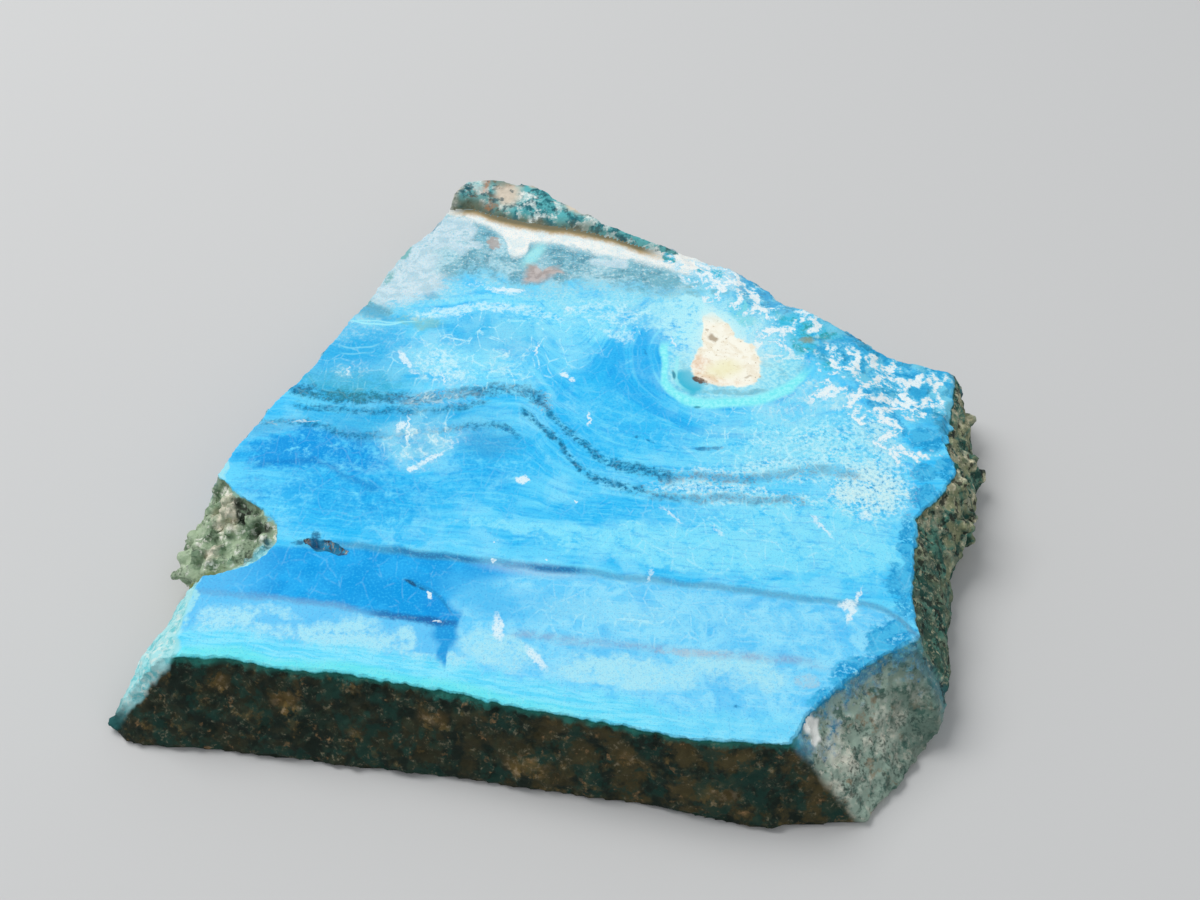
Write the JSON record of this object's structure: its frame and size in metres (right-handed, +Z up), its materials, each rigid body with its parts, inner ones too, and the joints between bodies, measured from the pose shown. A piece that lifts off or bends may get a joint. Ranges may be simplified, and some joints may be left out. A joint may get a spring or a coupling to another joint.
{
  "type": "chrysocolla slab",
  "caption": "Sawn slab of banded blue chrysocolla on dark host rock, lying flat: polished face, rough broken sides, a crystal-lined notch and a low raised lip along one edge.",
  "frame": {"origin": "centre of the slab's bounding box, on its sawn base", "axes": "+Z up through the thickness, out of the polished face; -Y is the long straight front side of dark rock; -X is the side with the crystal-lined notch"},
  "size_m": [0.0654, 0.0661, 0.0082],
  "materials": {
    "chrysocolla": "satin polish on the face, rough on the sides"
  },
  "bodies": {
    "root": {"chrysocolla_slab": "chrysocolla"}
  },
  "joints": []
}
